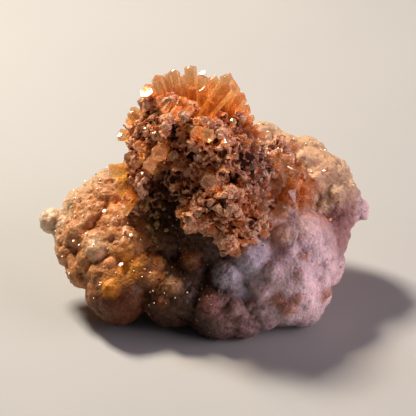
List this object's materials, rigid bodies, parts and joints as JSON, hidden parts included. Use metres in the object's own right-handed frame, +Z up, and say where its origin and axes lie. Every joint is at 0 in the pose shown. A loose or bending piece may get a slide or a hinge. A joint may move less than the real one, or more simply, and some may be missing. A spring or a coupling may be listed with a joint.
{
  "type": "creedite cluster",
  "caption": "Mineral specimen: a club of stubby, see-through amber creedite crystals on lumpy pale host rock, with more crystals in a hollow beside it; stands on a small flat.",
  "frame": {"origin": "middle of the bounding box in plan, at the level of the small flat that the specimen rests on", "axes": "+Z up, +X along the specimen's width, to the right as the picture shows it, -Y towards the viewer"},
  "size_m": [0.0454, 0.0292, 0.0333],
  "materials": {
    "matrix": "lumpy, sugary drusy crust, orange-brown to pinkish white, with fine sparkles",
    "creedite": "see-through amber crystals with flat glossy faces, dusted brick-red between them"
  },
  "bodies": {
    "root": {"host_rock": "matrix", "crystal_club": "creedite", "pocket_crystals": "creedite"}
  },
  "joints": []
}
